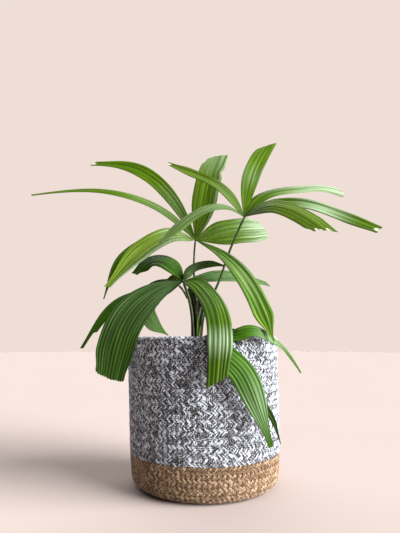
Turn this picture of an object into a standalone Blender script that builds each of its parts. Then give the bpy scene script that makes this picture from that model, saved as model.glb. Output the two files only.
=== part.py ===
"""Lady palm with four fans of pleated leaf blades, growing in a braided basket.

Places and sizes in the tables are in millimetres. The origin is the centre of
the basket's flat underside, +Z is up, and the palm is seen from the front
along +Y. Every blade, stalk and basket part is one closed solid.
"""
import math
from collections import namedtuple

import bmesh
import bpy
import numpy as np
from mathutils import Vector

MM = 0.001
CLEARANCE = 0.3

# Basket: a soft cylinder that leans a little, with a rounded lower edge.
BASKET_HEIGHT = 187.0
BASKET_RADIUS = 95.0
FOOT_NARROWING = 2.3
NARROWING_HEIGHT = 65.0
BASKET_LEAN = -4.0
WALL = 7.0
CORNER_RADIUS = 15.0
BAND_HEIGHT = 44.0
BASKET_STEPS = 48
ARC_STEPS = 5
SOIL_HEIGHT = 168.0
SOIL_MOUND = 3.0

SOIL_RIM_DROP = 1.0
SOIL_CREST = 35.0
SOIL_SHOULDER = 60.0

# Leaf blades: pleated strips with a blunt, slanting tip. Shares are of the
# blade's length, apart from the pleat's height, which is a share of the width.
BLADE_STATIONS = 11
ROOT_WIDTH = 1.5
ROOT_THICKNESS = 1.0
ROOT_SHARE = 0.15
SLANT_SHARE = 0.2
PLEAT_SHARE = 0.05
SLENDERNESS = 70.0
WIDENING = 1.3

# Stalks: a petiole that thins by STALK_TAPER, then swells into a round knot.
STALK_STATIONS = 14
STALK_SIDES = 8
STALK_TAPER = 0.9
TAPER_SHARE = 0.7
KNOT_CLEAR = 1.6
KNOT_TURNS = (-60, -25, 15, 50, 75)
CANE_SIDES = 10
SHARP_ANGLE = 35

LEAF_GREEN = (0.13, 0.30, 0.05)
DARK_LEAF_GREEN = (0.06, 0.17, 0.04)
STALK_GREEN = (0.09, 0.17, 0.05)
SHEATH_BROWN = (0.07, 0.045, 0.025)
COTTON_GREY = (0.42, 0.42, 0.44)
JUTE_TAN = (0.40, 0.24, 0.12)
SOIL_BROWN = (0.035, 0.022, 0.015)

# A blade passes through the points of path after its fan's hub. Its upper
# face looks along face, and width is its widest place. It is full width from
# the share full of its length to the share taper, tip is its end's share, and
# slant is how far one corner of the end runs ahead of the middle.
Blade = namedtuple(
    "Blade",
    "path width face full taper tip slant",
    defaults=(0.5, 0.75, 0.6, 0.2),
)
Fan = namedtuple("Fan", "hub stalk foot_radius knot_radius blades")

FANS = {
    "high_right": Fan(
        hub=(48, -20, 335),
        stalk=[(-8, 8, 168.3), (-4, 5, 208), (15, -5, 252), (29, -12, 291)],
        foot_radius=3.0,
        knot_radius=3.2,
        blades=[
            Blade([(21, -14, 374), (-13, -2, 394), (-49, 10, 412)], 15, (0, -1.2, 1)),
            Blade(
                [(54, -2, 374), (65, 20, 410), (86, 45, 447)],
                24, (0, -1, 0.2), tip=0.75, slant=0.55,
            ),
            Blade([(71, -8, 366), (135, 14, 382), (187, 35, 378)], 18, (0, -0.7, 1)),
            Blade([(73, -35, 345), (104, -53, 334), (135, -75, 306)], 28, (0, -1.2, 1), tip=0.8),
            Blade([(78, -22, 354), (121, -31, 349), (204, -45, 315)], 16, (0, -1.5, 1)),
            Blade([(27, -36, 345), (-7, -60, 331), (-50, -90, 289)], 14, (0, -1, 1), tip=0.4),
        ],
    ),
    "high_left": Fan(
        hub=(-13, 10, 313),
        stalk=[(-12, 4, 232.6), (-14, 8, 284)],
        foot_radius=2.4,
        knot_radius=3.4,
        blades=[
            Blade([(-46, 12, 345), (-124, 8, 375), (-223, 5, 370)], 17, (0, -1.3, 1), 0.4, 0.5, 0.4),
            Blade([(-32, 24, 352), (-75, 34, 401), (-155, 42, 425)], 26, (0, -1, 0.4), 0.4, 0.6, 0.3),
            Blade([(-6, 25, 352), (4, 45, 403), (20, 68, 440)], 36, (0, -1, 0.2), slant=0.4),
            Blade([(9, 22, 321), (45, 45, 332), (83, 72, 339)], 38, (0, -1, 0.3), tip=0.65, slant=0),
            Blade([(14, -14, 295), (45, -45, 260), (74, -88, 181)], 23, (0, -0.8, 1), 0.4, 0.6, 0.25),
            Blade([(-37, -10, 315), (-77, -34, 291), (-114, -58, 244)], 29, (0, -1.2, 1), 0.5, 0.6, 0.3),
            Blade([(-61, 6, 308), (-103, -3, 288), (-128, -12, 234)], 16, (0, -1, 0.6), 0.5, 0.6, 0.3),
        ],
    ),
    "middle": Fan(
        hub=(-28, -15, 256),
        stalk=[(-16, -9, 168.3), (-20, -10, 230)],
        foot_radius=2.8,
        knot_radius=3.4,
        blades=[
            Blade([(-41, -8, 277), (-67, 5, 286), (-93, 12, 269)], 22, (0, -1, 0.8), 0.4),
            Blade(
                [(-53, -36, 247), (-90, -56, 214), (-112, -70, 142)],
                42, (0.3, -1, 0.8), 0.4, 0.8, 0.75, -0.15,
            ),
            Blade([(-51, 6, 264), (-97, 4, 234), (-154, -8, 172)], 24, (0, -1, 0.6), tip=0.3),
            Blade([(-20, -12, 269), (-2, 0, 279), (25, 22, 282)], 16, (0, 0.7, 1.2)),
            Blade([(-3, 0, 262), (36, 26, 269), (90, 48, 257)], 32, (0, -0.8, 1), 0.4, 0.6, 0.4),
            Blade(
                [(0, -52, 240), (16, -108, 194), (12, -122, 140)],
                29, (0, -0.6, 1), 0.5, 0.85, 0.8, 0.3,
            ),
            Blade([(-54, 14, 253), (-70, 36, 231), (-55, 60, 193)], 28, (0.4, -1, 0.6), 0.6, 0.65, 0.3),
        ],
    ),
    "low_front": Fan(
        hub=(20, -76, 198),
        stalk=[(-4, -14, 168.3), (-3, -18, 176), (6, -42, 183)],
        foot_radius=2.2,
        knot_radius=3.0,
        blades=[
            Blade(
                [(45, -84, 193), (66, -80, 188), (92, -70, 171), (109, -62, 145)],
                18, (0, -1, 0.8), 0.35, 0.4, 0.25,
            ),
            Blade(
                [(27, -101, 188), (45, -110, 142), (58, -104, 109), (71, -92, 68)],
                28, (0, -1, 0.5), 0.4, 0.55, 0.2,
            ),
            Blade(
                [(30, -93, 186), (55, -98, 128), (71, -93, 97), (79, -86, 66)],
                12, (0, -1, 0.5),
            ),
        ],
    ),
    "low_back": Fan(
        hub=(20, 75, 198),
        stalk=[(-4, 16, 168.3), (-3, 20, 176), (8, 48, 184)],
        foot_radius=2.2,
        knot_radius=3.0,
        blades=[
            Blade([(28, 102, 192), (40, 125, 156), (46, 132, 98)], 26, (0, 0.6, 1)),
            Blade([(56, 90, 192), (86, 104, 160), (104, 108, 112)], 22, (0.5, 0.5, 1)),
            Blade([(6, 99, 191), (-18, 120, 163), (-44, 129, 114)], 24, (-0.4, 0.6, 1)),
        ],
    ),
}
DARK_FANS = ("middle", "low_front", "low_back")

# Cane: the short brown trunk, sheathed in fibre, with a young spear beside it.
CANE_PATH = [(-13, 0, 168.3), (-13, 0, 176), (-12.5, 2, 206), (-12, 4, 232.2)]
CANE_RADII = (5.6, 4.4, 4.0, 3.0)
SPEAR_PATH = [(-9, -7, 168.3), (-8, -7, 190), (-4, -7, 222)]
SPEAR_RADII = (1.5, 1.4, 0.5)


def clear_scene():
    for obj in list(bpy.data.objects):
        bpy.data.objects.remove(obj)


def make_material(name, colour, roughness):
    material = bpy.data.materials.new(name)
    material.use_nodes = True
    shader = material.node_tree.nodes["Principled BSDF"]
    shader.inputs["Base Color"].default_value = (*colour, 1.0)
    shader.inputs["Roughness"].default_value = roughness
    return material


def finish_object(name, bm, material):
    """Turn the faces outwards, smooth the round ones and link the object."""
    bmesh.ops.recalc_face_normals(bm, faces=bm.faces)
    mesh = bpy.data.meshes.new(name)
    bm.to_mesh(mesh)
    bm.free()
    mesh.shade_smooth()
    mesh.set_sharp_from_angle(angle=math.radians(SHARP_ANGLE))
    obj = bpy.data.objects.new(name, mesh)
    obj.data.materials.append(material)
    bpy.context.collection.objects.link(obj)
    return obj


def smooth_path(points, count):
    """Evenly spaced places on the natural cubic spline through points."""
    knots = np.array(points, float)
    spans = np.linalg.norm(np.diff(knots, axis=0), axis=1)
    reach = np.concatenate([[0.0], np.cumsum(spans)])
    size = len(knots)
    matrix = np.eye(size)
    right = np.zeros((size, 3))
    for i in range(1, size - 1):
        matrix[i, i - 1] = spans[i - 1]
        matrix[i, i] = 2 * (spans[i - 1] + spans[i])
        matrix[i, i + 1] = spans[i]
        slopes = np.diff(knots[i - 1:i + 2], axis=0) / spans[i - 1:i + 1, None]
        right[i] = 6 * (slopes[1] - slopes[0])
    bends = np.linalg.solve(matrix, right)
    places = []
    for distance in np.linspace(0, reach[-1], count):
        i = min(int(np.searchsorted(reach, distance, side="right")) - 1, size - 2)
        before = distance - reach[i]
        after = reach[i + 1] - distance
        span = spans[i]
        place = (bends[i] * after ** 3 + bends[i + 1] * before ** 3) / (6 * span)
        place += (knots[i] / span - bends[i] * span / 6) * after
        place += (knots[i + 1] / span - bends[i + 1] * span / 6) * before
        places.append(Vector(place))
    return places


def directions(places):
    """The direction of travel at each place of a path."""
    last = len(places) - 1
    return [
        (places[min(i + 1, last)] - places[max(i - 1, 0)]).normalized()
        for i in range(last + 1)
    ]


def ease(share):
    share = min(max(share, 0.0), 1.0)
    return share * share * (3 - 2 * share)


def bridge_sections(bm, sections):
    """Join closed sections of equal size into one capped skin."""
    rings = [[bm.verts.new(point * MM) for point in section] for section in sections]
    size = len(rings[0])
    for near, far in zip(rings, rings[1:]):
        for i in range(size):
            j = (i + 1) % size
            bm.faces.new((near[i], near[j], far[j], far[i]))
    bm.faces.new(rings[0][::-1])
    bm.faces.new(rings[-1])


def blade_width(share, blade):
    """Narrow at the hub, widest in the middle, blunt at the tip."""
    growth = math.sin(0.5 * math.pi * min(share / blade.full, 1.0)) ** WIDENING
    grown = ROOT_WIDTH + (blade.width - ROOT_WIDTH) * growth
    return grown * (1 - (1 - blade.tip) * ease((share - blade.taper) / (1 - blade.taper)))


def blade_section(centre, side, up, half, thickness, pleat, slant):
    """Eight points round a shallow W, sharp at both edges."""
    across = ((-1, 0), (-0.5, 1), (0, -1), (0.5, 1), (1, 0))
    top = [
        centre + side * half * u + up * (pleat * lift + thickness / 2 * (1 - abs(u)))
        + slant * u
        for u, lift in across
    ]
    bottom = [
        centre + side * half * u + up * (pleat * lift - thickness / 2 * (1 - abs(u)))
        + slant * u
        for u, lift in across[3:0:-1]
    ]
    return top + bottom


def make_blade(name, fan, blade, material):
    places = smooth_path([fan.hub, *blade.path], BLADE_STATIONS * 4)
    root = fan.knot_radius + CLEARANCE
    travelled = [0.0]
    for near, far in zip(places, places[1:]):
        travelled.append(travelled[-1] + (far - near).length)
    length = travelled[-1]
    thickness = length / SLENDERNESS
    headings = directions(places)
    face = Vector(blade.face)
    sections = []
    for station in range(BLADE_STATIONS + 1):
        share = station / BLADE_STATIONS
        distance = root + (length - root) * share
        index = min(range(len(places)), key=lambda k: abs(travelled[k] - distance))
        heading = headings[index]
        centre = places[index] + heading * (distance - travelled[index])
        side = heading.cross(face).normalized()
        up = side.cross(heading).normalized()
        width = blade_width(share, blade)
        thick = ROOT_THICKNESS + (thickness - ROOT_THICKNESS) * ease(share / ROOT_SHARE)
        lean = ease((share - 1 + SLANT_SHARE) / SLANT_SHARE)
        slant = heading * (width * blade.slant * lean)
        pleat = width * PLEAT_SHARE
        sections.append(blade_section(centre, side, up, width / 2, thick, pleat, slant))
    bm = bmesh.new()
    bridge_sections(bm, sections)
    return finish_object(name, bm, material)


def round_sections(places, radii, sides):
    """Circles of the given radii across a path, all turned alike."""
    sections = []
    for place, heading, radius in zip(places, directions(places), radii):
        across = heading.cross(Vector((0, 1, 0))).normalized()
        along = across.cross(heading).normalized()
        turns = [2 * math.pi * k / sides for k in range(sides)]
        sections.append(
            [place + (across * math.cos(a) + along * math.sin(a)) * radius for a in turns]
        )
    return sections


def make_stalk(name, fan, material):
    """A petiole that swells into the knot its blades spread from."""
    hub = Vector(fan.hub)
    knot = fan.knot_radius
    places = smooth_path([*fan.stalk, hub], STALK_STATIONS)
    end = directions(places)[-1]
    shares = [k / (STALK_STATIONS - 1) for k in range(STALK_STATIONS)]
    radii = [fan.foot_radius - STALK_TAPER * ease(share / TAPER_SHARE) for share in shares]
    while (hub - places[-1]).length < knot * KNOT_CLEAR:
        places.pop()
        radii.pop()
    for turn in KNOT_TURNS:
        angle = math.radians(turn)
        places.append(hub + end * knot * math.sin(angle))
        radii.append(knot * math.cos(angle))
    sections = round_sections(places, radii, STALK_SIDES)
    for point in sections[0]:
        point.z = fan.stalk[0][2]
    bm = bmesh.new()
    bridge_sections(bm, sections)
    return finish_object(name, bm, material)


def make_round_limb(name, path, radii, material):
    places = [Vector(point) for point in path]
    sections = round_sections(places, radii, CANE_SIDES)
    for point in sections[0]:
        point.z = path[0][2]
    bm = bmesh.new()
    bridge_sections(bm, sections)
    return finish_object(name, bm, material)


def outer_radius(height):
    """The basket's radius, narrower near the foot and rounded under."""
    low = max(0.0, 1 - height / NARROWING_HEIGHT)
    radius = BASKET_RADIUS - FOOT_NARROWING * low * low
    if height < CORNER_RADIUS:
        drop = CORNER_RADIUS - height
        radius -= CORNER_RADIUS - math.sqrt(CORNER_RADIUS ** 2 - drop ** 2)
    return radius


def inner_radius(height):
    radius = outer_radius(max(height, CORNER_RADIUS)) - WALL
    inside_corner = CORNER_RADIUS - WALL
    above_floor = height - WALL
    if above_floor < inside_corner:
        drop = inside_corner - above_floor
        radius -= inside_corner - math.sqrt(max(inside_corner ** 2 - drop ** 2, 0.0))
    return radius


def spin_profile(name, profile, closed, material):
    """Turn a profile of (radius, height) about the basket's leaning axis."""
    bm = bmesh.new()
    verts = [bm.verts.new((radius * MM, 0, height * MM)) for radius, height in profile]
    edges = [bm.edges.new(pair) for pair in zip(verts, verts[1:])]
    if closed:
        edges.append(bm.edges.new((verts[-1], verts[0])))
    bmesh.ops.spin(
        bm,
        geom=verts + edges,
        cent=(0, 0, 0),
        axis=(0, 0, 1),
        angle=2 * math.pi,
        steps=BASKET_STEPS,
        use_merge=True,
    )
    bmesh.ops.remove_doubles(bm, verts=bm.verts, dist=0.01 * MM)
    for vert in bm.verts:
        vert.co.x += BASKET_LEAN * MM * vert.co.z / (BASKET_HEIGHT * MM)
    return finish_object(name, bm, material)


def corner_heights(low, high):
    """Heights up a rounded corner, evenly turned."""
    return [
        low + (high - low) * (1 - math.cos(0.5 * math.pi * k / ARC_STEPS))
        for k in range(ARC_STEPS + 1)
    ]


def make_basket_band(material):
    """The tan foot of the basket: floor, rounded edge and low wall."""
    top = BAND_HEIGHT - CLEARANCE / 2
    outer = [(outer_radius(z), z) for z in corner_heights(0, CORNER_RADIUS)]
    outer += [(outer_radius(z), z) for z in (CORNER_RADIUS * 2, top)]
    inner = [(inner_radius(z), z) for z in corner_heights(WALL, CORNER_RADIUS)]
    inner += [(inner_radius(z), z) for z in (CORNER_RADIUS * 2, top)]
    profile = [(0, 0), *outer, *inner[::-1], (0, WALL)]
    return spin_profile("basket_jute_band", profile, False, material)


def make_basket_wall(material):
    """The grey wall of the basket, with a rounded rim."""
    foot = BAND_HEIGHT + CLEARANCE / 2
    rim = WALL / 2
    heights = (foot, NARROWING_HEIGHT, 120, BASKET_HEIGHT - rim)
    outer = [(outer_radius(z), z) for z in heights]
    turns = [math.pi * k / (ARC_STEPS + 1) for k in range(1, ARC_STEPS + 1)]
    crest = [
        (BASKET_RADIUS - rim + rim * math.cos(a), BASKET_HEIGHT - rim + rim * math.sin(a))
        for a in turns
    ]
    inner = [(inner_radius(z), z) for z in reversed(heights)]
    return spin_profile("basket_cotton_wall", outer + crest + inner, True, material)


def make_soil(material):
    """Potting soil that fills the basket to below the rim."""
    floor = WALL + CLEARANCE
    sides = [floor + z for z in corner_heights(0, CORNER_RADIUS - WALL)]
    sides += [BAND_HEIGHT, NARROWING_HEIGHT, SOIL_HEIGHT - SOIL_MOUND]
    profile = [(0, floor)]
    profile += [(inner_radius(max(z - CLEARANCE, WALL)) - CLEARANCE, z) for z in sides]
    profile += [(SOIL_SHOULDER, SOIL_HEIGHT - SOIL_RIM_DROP), (SOIL_CREST, SOIL_HEIGHT)]
    profile.append((0, SOIL_HEIGHT))
    return spin_profile("potting_soil", profile, False, material)


def main():
    clear_scene()
    bright = make_material("bright leaf", LEAF_GREEN, 0.35)
    dark = make_material("dark leaf", DARK_LEAF_GREEN, 0.4)
    stalk = make_material("green stalk", STALK_GREEN, 0.5)
    sheath = make_material("brown fibre sheath", SHEATH_BROWN, 0.9)
    make_basket_band(make_material("jute", JUTE_TAN, 0.9))
    make_basket_wall(make_material("grey cotton", COTTON_GREY, 0.9))
    make_soil(make_material("potting soil", SOIL_BROWN, 0.95))
    make_round_limb("cane", CANE_PATH, CANE_RADII, sheath)
    make_round_limb("young_spear", SPEAR_PATH, SPEAR_RADII, stalk)
    for fan_name, fan in FANS.items():
        make_stalk(f"stalk_{fan_name}", fan, stalk)
        material = dark if fan_name in DARK_FANS else bright
        for number, blade in enumerate(fan.blades, 1):
            make_blade(f"blade_{fan_name}_{number}", fan, blade, material)


main()
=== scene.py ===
"""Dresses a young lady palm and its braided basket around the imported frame.

Places and sizes in the tables are in millimetres, in the frame's own axes: the
origin is the centre of the basket's underside, +Z is up, and the palm is seen
from the front along +Y. Every leaf blade is a pleated sheet with a toothed
tip, and the basket is braided from single yarns around a dark core.
"""
import math
from collections import namedtuple

import bpy
import numpy as np
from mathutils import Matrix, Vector, noise


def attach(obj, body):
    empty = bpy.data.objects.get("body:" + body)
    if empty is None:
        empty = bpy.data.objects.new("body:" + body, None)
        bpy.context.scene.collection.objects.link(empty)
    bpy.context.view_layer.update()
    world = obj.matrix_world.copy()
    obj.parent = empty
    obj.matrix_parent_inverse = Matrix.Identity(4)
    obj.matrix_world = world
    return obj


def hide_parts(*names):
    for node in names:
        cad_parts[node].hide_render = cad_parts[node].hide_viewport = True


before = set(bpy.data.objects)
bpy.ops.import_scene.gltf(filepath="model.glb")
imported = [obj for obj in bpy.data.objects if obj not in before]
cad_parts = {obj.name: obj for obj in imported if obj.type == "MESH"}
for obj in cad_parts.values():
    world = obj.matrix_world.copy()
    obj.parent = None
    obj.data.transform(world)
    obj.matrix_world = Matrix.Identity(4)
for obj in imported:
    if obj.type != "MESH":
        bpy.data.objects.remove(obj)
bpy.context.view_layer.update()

bl_info = {
    "name": "Lady Palm in a Braided Basket",
    "version": (1, 0, 0),
    "blender": (4, 5, 0),
    "location": "View3D > Sidebar > Palm",
    "description": "Pleated palm fans, a fibrous cane and a basket braided yarn by yarn",
    "category": "Add Mesh",
}

MM = 0.001
SEED = 7

# Basket: the same soft cylinder as the solids, which leans a little.
BASKET_HEIGHT = 187.0
BASKET_RADIUS = 95.0
FOOT_NARROWING = 2.3
NARROWING_HEIGHT = 65.0
BASKET_LEAN = -4.0
WALL = 7.0
RIM = WALL / 2
CORNER_RADIUS = 15.0
BAND_HEIGHT = 44.0
SOIL_HEIGHT = 168.0
SOIL_MOUND = 3.0

# Blades follow the solids' rule for their width. SLANT_SHARE is the end part of
# the length that slants, OPENING_SHARE the part in which a blade opens from its
# root, SHADED_SHARE the part at the root that is painted darker as shade, and
# DRY_START where the dry end of a tooth begins.
ROOT_WIDTH = 1.5
SLANT_SHARE = 0.2
OPENING_SHARE = 0.3
SHADED_SHARE = 0.16
DRY_START = 0.97
SAW_STEPS = 3
# How unlike each other a blade's ribs are, as shares of their width and height.
RIB_WIDTHS = (0.7, 1.3)
RIB_HEIGHTS = (0.6, 1.2)
# How finely a blade's middle line, its mesh and a stalk are divided, and how the
# mesh's rows crowd towards the blade's end.
BLADE_STEPS = 240
BLADE_ROWS = 70
END_CROWDING = 1.3
RIB_COLUMNS = 8
STALK_STEPS = 40
# How much thinner a stalk gets on its way up.
STALK_TAPER = 0.6

# A blade passes through the points of path after its fan's hub, with its upper
# face towards face and width at its widest. It is full width from the share
# full of its length to the share taper, tip is its end's share of the width,
# and slant is how far the end's corner on the positive side runs ahead. look
# names its colours. It has this many ribs, relief high. fold lifts its edges as
# a share of the half width, round_end draws the end's corners back, and tooth
# is how far its ribs run on. cuts are bites out of the end: place across, depth
# and half width. saw narrows one side in steps, by its size and on the side of
# its sign. notch is a bite out of the positive side: its share of the length,
# its depth and its reach. sheen is the share at which a pale highlight is
# painted, its reach and its strength. margin is the same painted highlight
# along the edge on the side of its sign, and dry is the share of papery teeth.
Blade = namedtuple(
    "Blade",
    "path width face full taper tip slant look ribs relief fold round_end tooth cuts saw notch "
    "sheen margin dry",
    defaults=(
        0.3, 0.75, 0.6, 0.2, "bright", 4, 0.25, 0.0, 0.0, 0.8, (), 0, None, (0.3, 0.3, 0.15), 0.0, 0.0,
    ),
)
# Blades spread from their fan's hub. Its stalk passes through the points of stalk
# up to the hub, with these radii at its foot and in the knot that ends it.
Fan = namedtuple("Fan", "hub blades stalk foot_radius knot_radius", defaults=(None, 0, 0))

FANS = {
    "high_right": Fan((48, -20, 335), [
        Blade(
            [(35, -18, 355), (20, -14, 372), (-13, -2, 393), (-49, 10, 412)], 15, (0, -1.2, 1), tip=0.45,
            look="olive", ribs=3, fold=0.25, cuts=((0.2, 2.5, 0.5),), dry=0.4,
        ),
        Blade(
            [(54, -2, 374), (65, 20, 410), (85, 45, 450)], 23, (0, -1, 0.2), full=0.55, tip=0.9,
            slant=0.75, fold=0.1, round_end=0.22, sheen=(0.5, 0.25, 0.2), tooth=0.3,
        ),
        Blade(
            [(68, -10, 361), (128, 14, 381), (162, 28, 386), (188, 35, 381)], 17, (0, -1, 0.9), full=0.2,
            tip=0.95, slant=0.15, ribs=2, relief=0.15, fold=-0.1, round_end=0.4, sheen=(1.0, 0.8, 1.2),
            tooth=0.2,
        ),
        Blade(
            [(73, -35, 345), (104, -53, 334), (135, -75, 306)], 29, (0, -1.2, 1), full=0.35, taper=0.8,
            tip=0.75, slant=-0.4, look="olive", ribs=6, relief=0.2, fold=-0.15,
            cuts=((0.6, 4.0, 0.22), (-0.3, 3.0, 0.2)), sheen=(0.1, 0.3, 0.3), dry=0.3,
        ),
        Blade(
            [(78, -22, 349), (121, -31, 348), (163, -38, 332), (206, -45, 313)], 18, (0, -1.5, 1),
            full=0.25, tip=0.75, slant=-0.15, ribs=3, relief=0.4, fold=0.1, cuts=((0.1, 3.5, 0.4),),
            sheen=(0.58, 0.3, 0.8), dry=0.2,
        ),
        Blade(
            [(27, -36, 343), (-7, -60, 331), (-50, -90, 289)], 15, (0, -1, 1), tip=0.3, look="dusty",
            ribs=3, fold=-0.1, tooth=0.3,
        ),
    ], [(-8, 8, 168.3), (-4, 5, 208), (15, -5, 252), (29, -12, 291)], 2.0, 1.9),
    "high_left": Fan((-13, 10, 313), [
        Blade(
            [(-46, 12, 345), (-124, 8, 375), (-225, 5, 370)], 12, (0, -1.3, 1), full=0.25, taper=0.3,
            tip=0.25, ribs=3, relief=0.15, fold=-0.1, sheen=(0.25, 0.3, 0.25), tooth=0.3,
        ),
        Blade(
            [(-32, 24, 352), (-75, 34, 403), (-107, 38, 419), (-153, 42, 424)], 20, (0, -1, 0.4),
            full=0.5, taper=0.6, tip=0.35, slant=-0.6, relief=0.2, fold=0.15, sheen=(0.3, 0.25, 0.2),
            dry=0.35,
        ),
        Blade(
            [(-4, 25, 352), (5, 45, 403), (20, 68, 445)], 34, (0, -1, 0.2), full=0.45, tip=0.82,
            slant=0.4, look="golden", ribs=5, fold=0.1, round_end=0.35, notch=(0.78, 0.22, 0.08),
            sheen=(1.0, 0.4, 0.4), margin=0.2, tooth=0.3,
        ),
        Blade(
            [(9, 22, 321), (45, 45, 333), (86, 72, 341)], 40, (0, -1, 0.3), full=0.45, tip=0.82,
            slant=0.15, ribs=6, round_end=0.3, sheen=(1.0, 0.5, 1.0), tooth=0.3,
        ),
        Blade(
            [(14, -14, 294), (44, -45, 258), (74, -88, 181)], 24, (0, -0.8, 1), full=0.6, taper=0.8,
            tip=0.08, look="striped", relief=0.5, fold=0.15, tooth=0.3, sheen=(0.5, 0.4, 0.2),
        ),
        Blade(
            [(-37, -10, 314), (-77, -34, 290), (-114, -58, 244)], 31, (0, -1.2, 1), full=0.25,
            taper=0.55, tip=0.25, look="lime", relief=0.3, fold=0.2, sheen=(0.2, 0.25, 0.35),
            margin=-0.8, dry=0.3,
        ),
        Blade(
            [(-58, 8, 315), (-106, -3, 286.5), (-128, -12, 234)], 15, (0, -1, 0.6), taper=0.6, tip=0.1,
            look="deep", ribs=3, tooth=0.3,
        ),
    ], [(-12, 4, 232.6), (-15, 8, 284)], 1.8, 1.9),
    "middle": Fan((-28, -15, 256), [
        Blade(
            [(-42, -8, 276), (-67, 5, 286), (-93, 12, 269)], 23, (0, -1, 0.8), full=0.35, look="deep",
            fold=-0.1, tip=0.4, sheen=(0.4, 0.4, 0.12),
        ),
        Blade(
            [(-53, -36, 245), (-88, -56, 213), (-110, -70, 139)], 42, (0.3, -1, 0.8), full=0.58,
            taper=0.8, tip=0.8, slant=-0.1, look="shaded", ribs=12, relief=0.3, round_end=0.12,
            sheen=(0.4, 0.4, 0.06), tooth=1.2,
        ),
        Blade(
            [(-58, 6, 245), (-104, 4, 231), (-156, -8, 172)], 23, (0, -1, 0.6), taper=0.5, tip=0.25,
            look="deep", ribs=6, relief=0.4, saw=-1.6,
        ),
        Blade(
            [(-20, -12, 270), (-2, 0, 280), (26, 22, 281)], 20, (0, 0.7, 1.2), full=0.25, taper=0.5,
            tip=0.2, look="shaded", ribs=3, fold=-0.15, tooth=0.3,
        ),
        Blade(
            [(-3, 0, 262), (36, 26, 268), (87, 48, 260)], 31, (0, -0.8, 1), full=0.5, taper=0.6,
            tip=0.35, look="matt", ribs=5, sheen=(0.7, 0.5, 0.2),
        ),
        Blade(
            [(-19, -28, 256), (-2.5, -53, 242.5), (13.8, -108, 194), (10.5, -122, 140)], 27,
            (0, -0.6, 1), full=0.16, tip=0.8, slant=0.33, look="fresh", ribs=6, relief=0.4,
            fold=-0.15, sheen=(0.76, 0.13, 0.65), tooth=2.2,
        ),
        Blade(
            [(-62, 13, 251), (-78, 40, 219), (-52, 62, 189)], 28, (0.4, -1, 0.6), full=0.5,
            tip=0.08, look="deep", ribs=6, sheen=(0.7, 0.3, 0.15), tooth=0.3,
        ),
    ], [(-16, -9, 168.3), (-20, -10, 230)], 2.4, 2.4),
    "low_front": Fan((20, -76, 198), [
        Blade(
            [(31, -88, 188), (45, -88, 192.5), (66, -81, 187.5), (91, -70, 169), (109, -62, 145)], 18,
            (0, -1, 0.8), full=0.2, taper=0.12, tip=0.14, look="deep", notch=(0.68, 0.6, 0.15),
            sheen=(0.55, 0.25, 0.45), tooth=0.3,
        ),
        Blade(
            [
                (15, -97, 186), (16, -103, 170), (25, -105, 161.5), (36, -105, 151), (49.5, -103, 125),
                (57.8, -100, 103), (65.5, -94, 82), (70.5, -90, 66),
            ],
            29, (0, -1, 0.5), full=0.3, taper=0.52, tip=0.2, look="deep", ribs=7, relief=0.35, fold=-0.1,
            sheen=(0.72, 0.3, 0.4),
        ),
        Blade(
            [(19, -95, 186), (28, -98, 166), (48, -99, 132), (71, -91, 99), (82, -83, 68)], 7,
            (0, -1, 0.5), tip=0.15, look="shaded", ribs=2, tooth=0.3,
        ),
    ], [(-4, -14, 168.3), (-3, -18, 176), (6, -42, 183)], 1.9, 1.8),
    "low_back": Fan((20, 75, 198), [
        Blade(
            [(28, 102, 192), (40, 125, 156), (46, 132, 98)], 26, (0, 0.6, 1), look="deep", ribs=6,
            sheen=(0.5, 0.3, 0.3),
        ),
        Blade(
            [(56, 90, 192), (86, 104, 160), (104, 108, 112)], 22, (0.5, 0.5, 1), ribs=5,
            sheen=(0.4, 0.3, 0.3),
        ),
        Blade(
            [(9, 98, 188), (-18, 120, 162), (-44, 129, 114)], 24, (-0.4, 0.6, 1), look="deep", ribs=5,
            sheen=(0.6, 0.3, 0.2),
        ),
    ], [(-4, 16, 168.3), (-3, 20, 176), (8, 48, 184)], 1.9, 1.8),
}

# Old sheaths and short young leaves close round the cane, and a stub of a blade
# at the middle fan's hub.
SHEATHS = {
    # The old sheath's near-black is partly its own colour, partly painted shade where the stalks meet.
    "old": Fan((-15, -5, 178), [
        Blade([(-16, -6, 215), (-21, -8, 250)], 7, (0.2, -1, 0), look="dried", ribs=3, fold=0.5, tip=0.3),
    ]),
    "folded": Fan((-9, -6, 178), [
        Blade(
            [(-9.6, -7, 196), (-6, -8, 213), (-3.4, -9, 230)], 7, (-0.2, -1, 0), full=0.7, taper=0.8,
            tip=0.15, look="fresh", ribs=2, relief=0.5, fold=0.6, sheen=(0.75, 0.3, 1.0), tooth=0.3,
        ),
    ]),
    # The dark sheath is a near-black sheet that fills the space behind the stems with painted shade.
    "dark": Fan((-11.4, 4, 176), [
        Blade(
            [(-10, 6, 205), (-13.5, 7, 232), (-20, 4, 251)], 16, (0, -1, 0), full=0.6, tip=0.5,
            look="dried", ribs=5,
        ),
    ]),
    "stub": Fan((-28, -11, 255), [
        Blade([(-38, -5, 262), (-48, -2, 259)], 9, (0, -1, 0.4), full=0.4, tip=0.5, look="lime", ribs=3),
    ]),
    "pale": Fan((-10.5, -9, 178), [
        Blade(
            [(-10, -10, 196), (-9.6, -10, 213)], 2.6, (0, -1, 0), full=0.2, tip=0.2,
            look="lime", ribs=2, fold=0.4, tooth=0.2,
        ),
    ]),
}

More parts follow.
